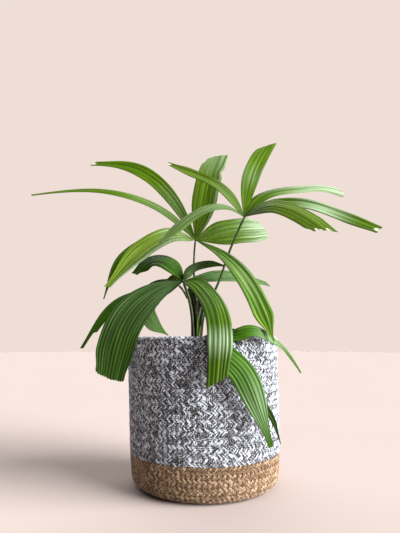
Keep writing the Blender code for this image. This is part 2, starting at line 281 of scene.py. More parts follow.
# A limb passes through the points of path in this many steps, with these radii
# at these shares of it. ridges gives their depth, and how finely they come
# across and up the limb.
Limb = namedtuple("Limb", "path shares radii steps ridges sides", defaults=(16,))
STALK_RIDGES = (0.35, 1.4, 0.05)
CANE = Limb(
    [(-13, 0, 168.3), (-13, 0, 176), (-12.5, 2, 206), (-12, 4, 232.2)],
    (0, 0.15, 0.6, 1), (5.4, 4.2, 3.4, 2.2), 60, (1.1, 0.8, 0.06), 24,
)
YOUNG_SHEATH = Limb(
    [(-8, 6, 168.3), (-6.6, 5, 190), (-2.6, 4, 213), (0, 2.6, 221)],
    (0, 0.5, 1), (3.4, 3.0, 1.7), 30, (0.5, 0.8, 0.06),
)
SPEAR = Limb(
    [(-9, -7, 168.3), (-8, -7, 190), (-4, -7, 222)],
    (0, 0.4, 1), (1.5, 1.4, 0.5), 30, (0.25, 1.6, 0.05),
)
SIDE_STALK = Limb(
    [(-33, -17, 250), (-30, -15.5, 247), (-26, -13, 241), (-23, -11, 235)], (0, 1), (1.4, 1.2), 12, None,
)

# A blade's greens: most of it, a darker green for its clouds and fine lines that also paints the shade in its
# furrows and at its root, its pale veins, and its roughness.
Look = namedtuple("Look", "body furrow vein roughness")
LOOKS = {
    "bright": Look("#405A08", "#2B4204", "#5C7A14", 0.40),
    "striped": Look("#40600A", "#284404", "#7A983E", 0.40),
    "lime": Look("#566C1C", "#3A520A", "#768E40", 0.42),
    "golden": Look("#3E5404", "#2A4202", "#587412", 0.40),
    "olive": Look("#445A10", "#2F4308", "#5A7322", 0.42),
    "dusty": Look("#465A2A", "#344A1A", "#5C7046", 0.50),
    "fresh": Look("#3A5410", "#213A06", "#4F6E1C", 0.40),
    "deep": Look("#365A0E", "#1E3A05", "#486F1E", 0.40),
    # shaded is a darker copy of the greens for blades that lie in shade: painted shade.
    "shaded": Look("#223A07", "#0F1D03", "#324F12", 0.44),
    # Near-black green for the old and the dark sheaths: partly their own dark brown, partly painted shade
    # among the stalks.
    "dried": Look("#1A1C0C", "#0C0B06", "#2C3216", 0.60),
    "matt": Look("#3D5A22", "#2A4814", "#526D38", 0.55),
}


def srgb(code):
    """Linear colour, with alpha, of a hex sRGB code."""
    shares = [int(code[i:i + 2], 16) / 255 for i in (1, 3, 5)]
    linear = [s / 12.92 if s <= 0.04045 else ((s + 0.055) / 1.055) ** 2.4 for s in shares]
    return (*linear, 1.0)


def colour(code, name, description):
    return bpy.props.FloatVectorProperty(
        name=name, description=description, subtype="COLOR", size=4, min=0, max=1, default=srgb(code)
    )


def length(millimetres, name, description):
    return bpy.props.FloatProperty(
        name=name, description=description, default=millimetres * MM, unit="LENGTH", precision=5
    )


def strength(value, name, description):
    return bpy.props.FloatProperty(name=name, description=description, default=value)


class LeafSettings(bpy.types.PropertyGroup):
    thickness: length(0.45, "Leaf thickness", "Thickness of a living blade")
    ripple: length(0.7, "Ripple", "How far a blade's edges wander up and down")
    underside: colour("#4F6638", "Underside", "Paler, duller lower face of a blade")
    # The colour of the pale sheen painted on the blades: a painted highlight.
    painted_sheen_colour: colour("#93A88A", "Gloss", "Pale bloom where wax catches the light")
    frayed: colour("#C4C0B4", "Frayed end", "Dry, papery ends of the teeth")


class StemSettings(bpy.types.PropertyGroup):
    petiole: colour("#34451A", "Petiole", "Smooth green skin of a leaf's stalk")
    sheath: colour("#1E1A0E", "Sheath", "Dark brown sheath round the feet of the stalks")
    fibre: colour("#3E3A22", "Fibre", "Loose brown fibres on the cane")
    spear: colour("#4A5A1E", "Spear", "Rolled young leaf")
    fibre_width: length(0.5, "Fibre width", "Width of one loose fibre")
    fibres: bpy.props.IntProperty(name="Fibres", description="Loose fibres on the cane", default=46)


class BasketSettings(bpy.types.PropertyGroup):
    coil: length(9.6, "Coil height", "Height of one braided row of the cotton wall")
    band_coil: length(9.0, "Foot coil height", "Height of one braided row of the jute foot")
    stitch: length(5.8, "Stitch length", "Distance from one arm of the braid to the next")
    core_depth: length(1.7, "Core depth", "How far the dark core lies under the yarns' tops")
    black: colour("#1E1E21", "Black yarn", "Darkest cotton yarn")
    charcoal: colour("#47484C", "Charcoal yarn", "Dark grey cotton yarn")
    grey: colour("#85878C", "Grey yarn", "Middle grey cotton yarn")
    pale: colour("#B8BECA", "Pale yarn", "Light grey cotton yarn")
    white: colour("#E3EAF5", "White yarn", "Bleached cotton yarn")
    jute_dark: colour("#614830", "Dark jute", "Darkest jute yarn")
    jute_middle: colour("#937558", "Middle jute", "Common jute yarn")
    jute_light: colour("#B89F84", "Light jute", "Palest jute yarn")
    soil: colour("#2B2018", "Soil", "Damp potting soil")


class StageSettings(bpy.types.PropertyGroup):
    floor: colour("#A99C97", "Floor", "Plain pale floor")
    backdrop: colour("#EFDED6", "Backdrop", "Plain pale air behind the palm")
    ambient: colour("#F4F6FA", "Ambient light", "Tint of the light from all round")
    key: strength(13.0, "Key light", "Strength of the soft light from the right")
    back: strength(3.5, "Back light", "Strength of the soft light from behind")
    overhead: strength(0.8, "Overhead light", "Strength of the very soft light from above")
    fill: strength(0.1, "Fill", "Strength of the light from all round")
    lens: length(31.745, "Lens", "Focal length on a 36 mm sensor")


def settings(name):
    return getattr(bpy.context.scene, name)


def add_node(tree, kind, inputs=None, **values):
    """Add a shader node, set its properties, and fill or link its inputs."""
    node = tree.nodes.new(kind)
    for name, value in values.items():
        setattr(node, name, value)
    for name, value in (inputs or {}).items():
        if isinstance(value, bpy.types.NodeSocket):
            tree.links.new(value, node.inputs[name])
        else:
            node.inputs[name].default_value = value
    return node


def new_material(name, roughness, **values):
    """A material with only a shader, whose even values are set on its sockets."""
    material = bpy.data.materials.new(name)
    material.use_nodes = True
    shader = material.node_tree.nodes["Principled BSDF"]
    shader.inputs["Roughness"].default_value = roughness
    for socket, value in values.items():
        shader.inputs[socket.replace("_", " ")].default_value = value
    return material, material.node_tree


def finish_material(material, base, height, share, relief):
    """Link a material's colour, and a share of relief so many millimetres deep."""
    tree = material.node_tree
    shader = tree.nodes["Principled BSDF"]
    tree.links.new(base, shader.inputs["Base Color"])
    bump = add_node(tree, "ShaderNodeBump", {"Height": height, "Strength": share, "Distance": relief * MM})
    tree.links.new(bump.outputs[0], shader.inputs["Normal"])
    return material


def paint(tree, base, value, tint, low=0.0, high=1.0):
    """Lay a tint over the base, more of it as a value goes from low to high."""
    share = add_node(tree, "ShaderNodeMapRange", {0: value, 1: low, 2: high}).outputs[0]
    return add_node(tree, "ShaderNodeMix", {0: share, 6: base, 7: tint}, data_type="RGBA").outputs[2]


def streaks(tree, place, sizes, detail):
    """Noise whose grains have these sizes along the axes of a place."""
    scale = [1 / size for size in sizes]
    grain = add_node(tree, "ShaderNodeMapping", {"Vector": place, "Scale": scale}).outputs[0]
    inputs = {"Vector": grain, "Scale": 1.0, "Detail": detail}
    return add_node(tree, "ShaderNodeTexNoise", inputs).outputs[0]


def grain_noise(tree, across, up, detail=2.0):
    """Noise fixed in the piece, its grains so many millimetres across and up."""
    place = add_node(tree, "ShaderNodeTexCoord").outputs["Object"]
    return streaks(tree, place, (across * MM, across * MM, up * MM), detail)


def leaf_surface(name, look, underside):
    """Living leaf: waxy and half glossy, with long pale veins, darker clouds, painted shade
    in furrows and at the root, a painted pale sheen, and dry, papery ends to some teeth."""
    values = settings("palm_leaves")
    material, tree = new_material(name, look.roughness, Specular_IOR_Level=0.06)
    grain = add_node(tree, "ShaderNodeAttribute", attribute_name="grain").outputs["Vector"]
    masks = add_node(tree, "ShaderNodeAttribute", attribute_name="bloom").outputs["Vector"]
    pleat = add_node(tree, "ShaderNodeSeparateXYZ", {0: grain}).outputs[0]
    bloom, painted_root_shade, dry = add_node(tree, "ShaderNodeSeparateXYZ", {0: masks}).outputs
    # Widths in ribs and lengths in millimetres: clouds, veins and fine lines.
    broad = streaks(tree, grain, (1.43, 50, math.inf), 1.0)
    vein = streaks(tree, grain, (0.385, 125, math.inf), 2.0)
    fine = streaks(tree, grain, (0.111, 167, math.inf), 1.0)
    base, furrow = srgb(look.body), srgb(look.furrow)
    if underside:
        base = paint(tree, base, 0.4, values.underside)
    base = paint(tree, base, broad, furrow, 0.35, 0.8)
    base = paint(tree, base, vein, srgb(look.vein), 0.5, 0.7)
    # Darker in each furrow between the ribs: painted shade in the creases.
    turn = add_node(tree, "ShaderNodeMath", {0: pleat, 1: 2 * math.pi}, operation="MULTIPLY").outputs[0]
    painted_crease_shade = add_node(tree, "ShaderNodeMath", {0: turn}, operation="COSINE").outputs[0]
    base = paint(tree, base, painted_crease_shade, furrow, 0.5, 1.2)
    base = paint(tree, base, fine, furrow, 0.55, 0.95)
    # Darker towards the root: painted shade.
    base = paint(tree, base, painted_root_shade, furrow)
    # The pale sheen, laid in streaks along the veins: a painted highlight.
    streak = add_node(tree, "ShaderNodeMapRange", {0: vein, 1: 0.42, 2: 0.62, 3: 0.2}).outputs[0]
    painted_sheen_streaks = add_node(tree, "ShaderNodeMath", {0: bloom, 1: streak}, operation="MULTIPLY").outputs[0]
    base = paint(tree, base, painted_sheen_streaks, values.painted_sheen_colour)
    base = paint(tree, base, dry, values.frayed)
    return finish_material(material, base, fine, 0.5, 0.15)


def stem_surface(name, skin, foot, low, high):
    """Petiole: smooth, faintly ribbed green skin, brown and dull at its foot and
    green from low to high, with ribs a millimetre apart."""
    material, tree = new_material(name, 0.45, Specular_IOR_Level=0.25)
    place = add_node(tree, "ShaderNodeTexCoord").outputs["Object"]
    height = add_node(tree, "ShaderNodeSeparateXYZ", {0: place}).outputs[2]
    rib = grain_noise(tree, 1.11, 25, 3.0)
    inputs = {0: rib, 1: 30 * MM, 2: height}
    uneven = add_node(tree, "ShaderNodeMath", inputs, operation="MULTIPLY_ADD").outputs[0]
    base = paint(tree, foot, uneven, skin, low * MM, high * MM)
    base = paint(tree, base, rib, srgb("#4E6430"), 0.55, 0.85)
    return finish_material(material, base, rib, 0.5, 0.2)


def fibre_surface(name, shade, tint):
    """Palm fibre: dry, matt, woody threads with lighter split edges, drawn
    coarser than the real ones so that they show."""
    material, tree = new_material(name, 0.85, Specular_IOR_Level=0.25)
    thread = grain_noise(tree, 0.714, 11.1, 4.0)
    base = paint(tree, shade, thread, tint, 0.45, 0.8)
    return finish_material(material, base, thread, 0.9, 0.4)


def yarn_surface(name, shade, second):
    """Spun yarn: matt and soft, with a second ply twisted round the first, and a
    mottle of fibres two millimetres across."""
    material, tree = new_material(
        name, 0.92, Specular_IOR_Level=0.2, Sheen_Weight=0.2, Sheen_Roughness=0.5
    )
    grain = add_node(tree, "ShaderNodeAttribute", attribute_name="grain").outputs["Vector"]
    around, along, _ = add_node(tree, "ShaderNodeSeparateXYZ", {0: grain}).outputs
    inputs = {0: along, 1: PLY_TWIST, 2: around}
    twist = add_node(tree, "ShaderNodeMath", inputs, operation="MULTIPLY_ADD").outputs[0]
    ply = add_node(tree, "ShaderNodeMath", {0: twist}, operation="SINE").outputs[0]
    inputs = {0: grain_noise(tree, 2, 2), 1: 4.0, 2: ply}
    mottle = add_node(tree, "ShaderNodeMath", inputs, operation="MULTIPLY_ADD").outputs[0]
    base = paint(tree, shade, mottle, second, 2.0, 2.8)
    return finish_material(material, base, ply, 0.7, 0.25)


def soil_surface(name, shade, tint):
    """Potting soil: crumbled peat and bark, dull and damp."""
    material, tree = new_material(name, 0.95, Specular_IOR_Level=0.2)
    crumb = grain_noise(tree, 3.85, 3.85, 6.0)
    base = paint(tree, shade, crumb, tint, 0.4, 0.7)
    return finish_material(material, base, crumb, 0.9, 1.0)


def plain_surface(name, tint, roughness):
    """Matt paint, with a broad, barely seen unevenness."""
    material, tree = new_material(name, roughness, Specular_IOR_Level=0.0)
    deeper = [channel * 0.97 for channel in tint[:3]] + [1.0]
    base = paint(tree, tint, grain_noise(tree, 333, 333), deeper)
    tree.links.new(base, tree.nodes["Principled BSDF"].inputs["Base Color"])
    return material


def deselect_all():
    bpy.ops.object.select_all(action="DESELECT")


def activate(piece):
    deselect_all()
    piece.select_set(True)
    bpy.context.view_layer.objects.active = piece


def apply_modifier(piece, kind, **values):
    """Add a modifier with these values and apply it."""
    activate(piece)
    bpy.ops.object.modifier_add(type=kind)
    modifier = piece.modifiers[-1]
    for name, value in values.items():
        setattr(modifier, name, value)
    bpy.ops.object.modifier_apply(modifier=modifier.name)


def dress(piece, materials, slot, *nodes):
    """Give a piece its materials and body, and hide the nodes it stands for. slot is not used."""
    piece.data.materials.clear()
    for material in materials:
        piece.data.materials.append(material)
    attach(piece, "root")
    if nodes:
        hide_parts(*nodes)
    return piece


def read_points(mesh):
    places = np.empty(len(mesh.vertices) * 3)
    mesh.vertices.foreach_get("co", places)
    return places.reshape(-1, 3)


def write_points(mesh, places):
    mesh.vertices.foreach_set("co", np.ascontiguousarray(places).ravel())
    mesh.update()


def write_grain(mesh, values, name="grain"):
    """Keep a pattern's own coordinates, or its masks, on the points of a mesh."""
    layer = mesh.attributes.new(name, "FLOAT_VECTOR", "POINT")
    layer.data.foreach_set("vector", np.ascontiguousarray(values, dtype=np.float32).ravel())


def new_mesh_piece(name, points, faces, grain=None):
    """A joined mesh from arrays, its faces smooth."""
    mesh = bpy.data.meshes.new(name)
    mesh.from_pydata(points.tolist(), [], faces)
    mesh.shade_smooth()
    if grain is not None:
        write_grain(mesh, grain)
    piece = bpy.data.objects.new(name, mesh)
    bpy.context.collection.objects.link(piece)
    return piece


def add_grid(name, columns, rows):
    """A flat grid from -1 to 1 both ways, to be laid in its place."""
    deselect_all()
    bpy.ops.mesh.primitive_grid_add(x_subdivisions=columns, y_subdivisions=rows, size=2)
    piece = bpy.context.active_object
    piece.name = piece.data.name = name
    return piece


def ease(share):
    share = np.clip(share, 0.0, 1.0)
    return share * share * (3 - 2 * share)


def travelled(steps):
    """The distance gone before the first step and after each."""
    return np.concatenate([[0.0], np.cumsum(steps)])


def follow(distance, reach, places):
    """Places at distances along a line whose own places lie at these reaches."""
    return np.stack([np.interp(distance, reach, axis) for axis in places.T], -1)


def smooth_path(points, count):
    """Evenly spaced places on the natural cubic spline through points."""
    knots = np.array(points, float)
    spans = np.linalg.norm(np.diff(knots, axis=0), axis=1)
    reach = travelled(spans)
    size = len(knots)
    matrix = np.eye(size)
    right = np.zeros((size, 3))
    for i in range(1, size - 1):
        matrix[i, i - 1:i + 2] = spans[i - 1], 2 * (spans[i - 1] + spans[i]), spans[i]
        slopes = np.diff(knots[i - 1:i + 2], axis=0) / spans[i - 1:i + 1, None]
        right[i] = 6 * (slopes[1] - slopes[0])
    bends = np.linalg.solve(matrix, right)
    distance = np.linspace(0, reach[-1], count)
    i = np.clip(np.searchsorted(reach, distance, side="right") - 1, 0, size - 2)
    before = (distance - reach[i])[:, None]
    after = (reach[i + 1] - distance)[:, None]
    span = spans[i][:, None]
    places = (bends[i] * after ** 3 + bends[i + 1] * before ** 3) / (6 * span)
    places += (knots[i] / span - bends[i] * span / 6) * after
    places += (knots[i + 1] / span - bends[i + 1] * span / 6) * before
    return places


def unit(vectors):
    return vectors / np.linalg.norm(vectors, axis=-1, keepdims=True)


def blade_width(share, blade, side):
    """Width by the solids' rule, with steps down one edge and a bite on one side."""
    growth = np.sin(0.5 * math.pi * np.clip(share / blade.full, 0, 1))
    grown = ROOT_WIDTH + (blade.width - ROOT_WIDTH) * growth
    tapering = np.clip((share - blade.taper) / (1 - blade.taper), 0, 1)
    treads = np.floor(tapering * SAW_STEPS) + ease(tapering * SAW_STEPS % 1 * 6)
    stepped = abs(blade.saw) * treads / (SAW_STEPS + 1)
    narrowed = np.where(side * blade.saw > 0, stepped, ease(tapering))
    width = grown * (1 - (1 - blade.tip) * narrowed)
    if blade.notch:
        place, depth, reach = blade.notch
        bite = np.clip(1 - np.abs(share - place) / reach, 0, 1) * depth
        width *= np.where(side > 0, 1 - bite, 1.0)
    return width


class Centreline:
    """A blade's middle line with its directions, measured along its length."""

    def __init__(self, hub, blade):
        self.places = smooth_path([hub, *blade.path], BLADE_STEPS)
        self.reach = travelled(np.linalg.norm(np.diff(self.places, axis=0), axis=1))
        self.length = self.reach[-1]
        self.headings = unit(np.gradient(self.places, axis=0))
        self.face = np.array(blade.face, float)

    def at(self, distance):
        """Place, side and up at distances, run on straight at the end."""
        inside = np.clip(distance, 0, self.length)
        heading = unit(follow(inside, self.reach, self.headings))
        place = follow(inside, self.reach, self.places) + heading * (distance - inside)[:, None]
        side = unit(np.cross(heading, self.face))
        return place, side, np.cross(side, heading)


def end_reach(u, crest, rib, blade, rng):
    """How far the end runs ahead at each point: its slant, corners, teeth and cuts."""
    end_width = blade.width * blade.tip
    reach = blade.slant * end_width * u
    reach -= blade.round_end * end_width * (1 - np.sqrt(np.clip(1 - u * u, 0, 1)))
    reach += blade.tooth * (crest - rng.uniform(0, 0.8, blade.ribs)[rib])
    for place, depth, half in blade.cuts:
        reach -= depth * np.clip(1 - np.abs(u - place) / half, 0, 1)
    return reach


def blade_rise(u, share, half, crest, rib, blade, ripple, rng):
    """How high each point stands: its rib, the folded edges and their ripple."""
    grown = np.clip(2 * half / blade.width, 0, 1)
    opened = ease(share / OPENING_SHARE)
    heights = rng.uniform(*RIB_HEIGHTS, blade.ribs)[rib]
    rise = (crest * heights - 0.5) * 2 * blade.relief * grown ** 0.7
    rise += blade.fold * half * np.abs(u) * opened
    phase = rng.random(4) * 2 * math.pi
    left = np.sin(share * 7 + phase[0]) + 0.6 * np.sin(share * 13 + phase[1])
    right = np.sin(share * 6 + phase[2]) + 0.6 * np.sin(share * 15 + phase[3])
    return rise + np.where(u > 0, left, right) * u * u * 0.6 * ripple / MM * grown * opened


def blade_masks(u, share, rib, blade, rng):
    """Shares of a painted pale sheen, of painted shade at the root and of dry, papery end."""
    middle, spread_out, strong = blade.sheen
    # A pale sheen at a share of the length and along one edge: painted highlight.
    bloom = strong * ease(1 - np.abs(share - middle) / spread_out)
    bloom += abs(blade.margin) * ease((u * np.sign(blade.margin) - 0.45) / 0.4) * ease(share / 0.2)
    # Darker towards the root: painted shade.
    painted_root_shade = 0.7 * (1 - ease(share / SHADED_SHARE))
    ending = ease((share - DRY_START) / 0.02)
    dry = (rng.random(blade.ribs) < blade.dry)[rib] * ending
    for place, _, half in blade.cuts:
        dry = np.maximum(dry, ease(1.3 - np.abs(u - place) / half) * ending)
    return np.stack([bloom, painted_root_shade, dry], -1)


def lay_blade(u, v, fan, blade, ripple, rng):
    """Places, grain and masks of a ribbed sheet, u across (-1 to 1), v along."""
    line = Centreline(fan.hub, blade)
    share = 1 - (1 - v) ** END_CROWDING
    furrows = travelled(rng.uniform(*RIB_WIDTHS, blade.ribs))
    pleat = np.interp(u, furrows / furrows[-1] * 2 - 1, np.arange(blade.ribs + 1))
    rib = np.clip(pleat.astype(int), 0, blade.ribs - 1)
    crest = 0.5 - 0.5 * np.cos(2 * math.pi * pleat)
    root = fan.knot_radius * 0.5
    distance = root + (line.length - root) * share
    distance += end_reach(u, crest, rib, blade, rng) * ease((share - 1 + SLANT_SHARE) / SLANT_SHARE)
    place, side, up = line.at(distance)
    half = blade_width(share, blade, u) / 2
    rise = blade_rise(u, share, half, crest, rib, blade, ripple, rng)
    places = place + side * (half * u)[:, None] + up * rise[:, None]
    masks = blade_masks(u, share, rib, blade, rng)
    return places, np.stack([pleat, distance, share], -1), masks


def add_blade(name, fan, blade, materials, slot, nodes, seed):
    """A grid laid along its centreline, then given its thickness."""
    values = settings("palm_leaves")
    piece = add_grid(name, blade.ribs * RIB_COLUMNS, BLADE_ROWS)
    flat = read_points(piece.data)
    u, v = flat[:, 0], (flat[:, 1] + 1) / 2
    rng = np.random.default_rng(seed)
    places, grain, masks = lay_blade(u, v, fan, blade, values.ripple, rng)
    write_points(piece.data, places * MM)
    write_grain(piece.data, grain)
    write_grain(piece.data, masks, "bloom")
    dress(piece, materials, slot, *nodes)
    apply_modifier(
        piece, "SOLIDIFY",
        thickness=values.thickness, offset=0.0, material_offset=1, material_offset_rim=0,
    )
    bpy.ops.object.shade_smooth()


class PALM_OT_add_leaves(bpy.types.Operator):
    """Lay every leaf blade from its fan's hub"""

    bl_idname = "palm.add_leaves"
    bl_label = "Add Leaves"

    def execute(self, context):
        surfaces = {}
        for name, look in LOOKS.items():
            upper = leaf_surface(f"waxy leaf {name}", look, False)
            surfaces[name] = [upper, leaf_surface(f"leaf underside {name}", look, True)]
        seed = SEED
        for fan_name, fan in {**FANS, **SHEATHS}.items():
            slot = "bright_leaf" if fan_name.startswith("high") else "dark_leaf"
            for number, blade in enumerate(fan.blades, 1):
                seed += 1
                nodes = [f"blade_{fan_name}_{number}"] if fan_name in FANS else []
                name = f"leaf_{fan_name}_{number}"
                add_blade(name, fan, blade, surfaces[blade.look], slot, nodes, seed)
        return {"FINISHED"}


def add_limb(name, places, radii, sides=16):
    """A capped tube through places, from a curve made a mesh."""
    deselect_all()
    bpy.ops.curve.primitive_bezier_curve_add()
    piece = bpy.context.active_object
    piece.name = name
    piece.location = (0, 0, 0)
    curve = piece.data
    curve.splines.clear()
    spline = curve.splines.new("POLY")
    spline.points.add(len(places) - 1)
    for point, place, radius in zip(spline.points, places, radii):
        point.co = (*(place * MM), 1.0)
        point.radius = radius
    curve.dimensions = "3D"
    curve.bevel_depth = MM
    curve.bevel_resolution = sides // 2 - 2
    curve.use_fill_caps = True
    bpy.ops.object.convert(target="MESH")
    piece = bpy.context.active_object
    piece.data.name = name
    return piece


def roughen(piece, depth, across, along):
    """Push points in and out by ridges that run up the limb."""
    for vert in piece.data.vertices:
        place = vert.co / MM
        spot = Vector((place.x * across, place.y * across, place.z * along))
        vert.co += vert.normal * (depth * MM * noise.noise(spot))
    piece.data.update()


def finish_limb(piece, ridges, material, slot, *nodes):
    """Give a limb its ridges, its finish and smooth shading."""
    if ridges:
        roughen(piece, *ridges)
    dress(piece, [material], slot, *nodes)
    activate(piece)
    bpy.ops.object.shade_smooth()


def add_tapered(name, limb, material, slot, *nodes):
    """A limb by its row in the tables above."""
    radii = np.interp(np.linspace(0, 1, limb.steps), limb.shares, limb.radii)
    piece = add_limb(name, smooth_path(limb.path, limb.steps), radii, limb.sides)
    finish_limb(piece, limb.ridges, material, slot, *nodes)


def petiole_points(fan):
    """The stalk's places and radii, up to the knot its blades spread from."""
    places = smooth_path([*fan.stalk, fan.hub], STALK_STEPS)
    radii = fan.foot_radius - STALK_TAPER * ease(np.linspace(0, 1, STALK_STEPS) / 0.7)
    end = unit(places[-1] - places[-2])
    knot = fan.knot_radius
    hub = np.array(fan.hub, float)
    keep = np.linalg.norm(places - hub, axis=1) > knot * 1.6
    turns = np.radians(np.linspace(-60, 84, 9))
    places = np.concatenate([places[keep], hub + np.outer(np.sin(turns) * knot, end)])
    radii = np.concatenate([radii[keep], knot * np.cos(turns) * 0.85])
    return places, radii


class PALM_OT_add_petioles(bpy.types.Operator):
    """Add the stalk under each fan, swelling into its knot"""

    bl_idname = "palm.add_petioles"
    bl_label = "Add Petioles"

    def execute(self, context):
        values = settings("palm_stems")
        green = stem_surface("petiole skin", values.petiole, values.sheath, 205, 245)
        for name, fan in FANS.items():
            piece = add_limb(f"petiole_{name}", *petiole_points(fan))
            finish_limb(piece, STALK_RIDGES, green, "green_stalk", f"stalk_{name}")
        add_tapered("petiole_side", SIDE_STALK, green, "green_stalk")
        return {"FINISHED"}


def add_fibres(values, material):
    """Loose threads that climb the cane at a slant, joined as one piece."""
    rng = np.random.default_rng(SEED)
    thickness = values.fibre_width / MM / 2 * np.linspace(1, 0.3, 7)
    cane = smooth_path(CANE.path, CANE.steps)
    threads = []
    for number in range(values.fibres):
        start = rng.uniform(0.0, 0.7)
        span = rng.uniform(0.18, 0.4)
        around = rng.uniform(0, 2 * math.pi)
        drift = rng.uniform(-1.2, 1.2)
        shares = np.linspace(start, min(start + span, 0.98), len(thickness))
        spots = follow(shares, np.linspace(0, 1, CANE.steps), cane)
        radius = np.interp(shares, CANE.shares, CANE.radii) + 0.25
        radius[-2:] += rng.uniform(0.0, 1.4) * np.array([0.4, 1.0])
        angle = around + drift * (shares - start)
        spots[:, 0] += radius * np.cos(angle)
        spots[:, 1] += radius * np.sin(angle)
        threads.append(add_limb(f"thread_{number}", spots, thickness, 6))
    activate(threads[0])
    for thread in threads:
        thread.select_set(True)
    bpy.ops.object.join()
    piece = bpy.context.active_object
    piece.name = piece.data.name = "cane_fibres"
    finish_limb(piece, None, material, "brown_sheath", "cane")


class PALM_OT_add_cane(bpy.types.Operator):
    """Add the fibrous cane, a young sheath and the rolled young leaf beside it"""

    bl_idname = "palm.add_cane"
    bl_label = "Add Cane"

    def execute(self, context):
        values = settings("palm_stems")
        bark = fibre_surface("fibrous sheath", values.sheath, srgb("#262812"))
        threads = fibre_surface("loose fibre", values.fibre, srgb("#5C6040"))
        shoot = stem_surface("rolled young leaf", values.spear, values.petiole, 170, 190)
        add_tapered("cane_sheath", CANE, bark, "brown_sheath", "cane")
        add_fibres(values, threads)
        add_tapered("young_sheath", YOUNG_SHEATH, bark, "brown_sheath")
        add_tapered("spear_leaf", SPEAR, shoot, "green_stalk", "young_spear")
        return {"FINISHED"}


def lean(height):
    """How far the basket's axis has moved over at a height."""
    return BASKET_LEAN * height / BASKET_HEIGHT


def outer_radius(height):
    """The basket's radius, narrower near the foot and rounded under."""
    low = max(0.0, 1 - height / NARROWING_HEIGHT)
    radius = BASKET_RADIUS - FOOT_NARROWING * low * low
    if height < CORNER_RADIUS:
        drop = CORNER_RADIUS - height
        radius -= CORNER_RADIUS - math.sqrt(CORNER_RADIUS ** 2 - drop ** 2)
    return radius


def outside(low, high, count, depth=0.0):
    """Radius and height up the outside, or under it by a depth."""
    return [(outer_radius(z) - depth, z) for z in np.linspace(low, high, count)]


def corner_profile():
    """Radius and height round the lower edge, evenly turned."""
    heights = [CORNER_RADIUS * (1 - math.cos(math.radians(turn))) for turn in range(0, 91, 6)]
    return [(outer_radius(z), z) for z in heights]


def rim_arc(radius, turns):
    """Over the rim from outside to inside, this far from the middle of the wall."""
    across, up = BASKET_RADIUS - RIM, BASKET_HEIGHT - RIM
    return [(across + radius * math.cos(a), up + radius * math.sin(a)) for a in np.radians(turns)]


def foot_profile():
    """From the middle of the underside, round the edge, to the band's top."""
    flat = [(r, 0.0) for r in np.arange(2.0, outer_radius(0), 4.0)]
    return np.array(flat + corner_profile() + outside(CORNER_RADIUS + 2, BAND_HEIGHT, 12))


def foot_core_profile(depth):
    """Round the foot's dark core: out under the yarns, up to the band's top and back inside."""
    edge = [(max(r - depth, 0.0), z + depth) for r, z in corner_profile()]
    inner = BASKET_RADIUS - WALL
    return [
        (0.0, depth), *edge, *outside(30.0, BAND_HEIGHT, 2, depth),
        (inner + 1, BAND_HEIGHT), (inner - 1, 20.0), (0.0, WALL),
    ]


def wall_profile():
    """From the band's top, over the rim and down inside to the soil."""
    inside = [(BASKET_RADIUS - WALL, z) for z in np.linspace(BASKET_HEIGHT - RIM, SOIL_HEIGHT - 6, 12)]
    crest = rim_arc(RIM, np.arange(10, 180, 10))
    return np.array(outside(BAND_HEIGHT, BASKET_HEIGHT - RIM, 60) + crest + inside)


def wall_core_profile(depth):
    """Round the wall's dark core, under the yarns on both sides."""
    low = BAND_HEIGHT + 0.3
    profile = outside(low, BASKET_HEIGHT - RIM, 20, depth)[:-1]
    profile += rim_arc(RIM - depth, np.arange(0, 181, 20))
    return [*profile, (BASKET_RADIUS - WALL + depth - 0.4, low)]


class Surface:
    """A profile turned about the basket's leaning axis."""

    def __init__(self, profile):
        self.profile = profile
        self.reach = travelled(np.linalg.norm(np.diff(profile, axis=0), axis=1))
        self.length = self.reach[-1]

    def spot(self, distance):
        return np.stack([np.interp(distance, self.reach, axis) for axis in self.profile.T])

    def at(self, distance, angle, height):
        """Places at distances up the profile, angles about the axis and heights off it."""
        radius, level = self.spot(distance)
        inside = np.clip(distance, 1.0, self.length - 1.0)
        ahead, behind = self.spot(inside + 0.6), self.spot(inside - 0.6)
        along = (ahead - behind) / np.linalg.norm(ahead - behind, axis=0)
        radius = radius + along[1] * height
        level = level - along[0] * height
        return np.stack([radius * np.cos(angle) + lean(level), radius * np.sin(angle), level], -1)


# One yarn of the braid: rings of five points at five places along it, flattened
# a little and thinner at both ends. An arm's yarns dip there too, and pass under
# their neighbours.
YARN_SIDES = 5
YARN_PLACES = np.linspace(-1, 1, 5)
YARN_FLATNESS = 0.85
ARM_YARNS = 3
ARM_DIP = 0.9
ARM_ANGLE = math.radians(46)
ARM_OVERLAP = 1.22
END_THINNING = 0.3
# How unlike each other arms and yarns are: tilt in radians, shift and sinking in
# millimetres, and shares of a yarn's thickness and of its length.
ARM_TILT = 0.05
ARM_SHIFT = 0.12
YARN_SINKING = 0.16
YARN_THICKNESSES = (0.86, 1.04)
YARN_LENGTHS = (0.93, 1.06)
# How far the ply turns round its yarn, in radians to the millimetre.
PLY_TWIST = 2.0
# The share of yarns that break the turn-taking of dark and light, and how often
# each colour is dealt, from the darkest to the lightest.
ODD_YARNS = 0.36
DARK_COTTON = (0.42, 0.36, 0.22, 0, 0)
LIGHT_COTTON = (0, 0, 0.14, 0.34, 0.52)
DARK_JUTE = (0.6, 0.4, 0)
LIGHT_JUTE = (0, 0.4, 0.6)


def yarn_faces():
    """Faces of one yarn, with its two end caps."""
    faces = []
    for ring in range(len(YARN_PLACES) - 1):
        for side in range(YARN_SIDES):
            after = (side + 1) % YARN_SIDES
            low = ring * YARN_SIDES
            faces.append([low + side, low + after, low + YARN_SIDES + after, low + YARN_SIDES + side])
    last = (len(YARN_PLACES) - 1) * YARN_SIDES
    faces.append(list(range(YARN_SIDES))[::-1])
    faces.append([last + side for side in range(YARN_SIDES)])
    return faces


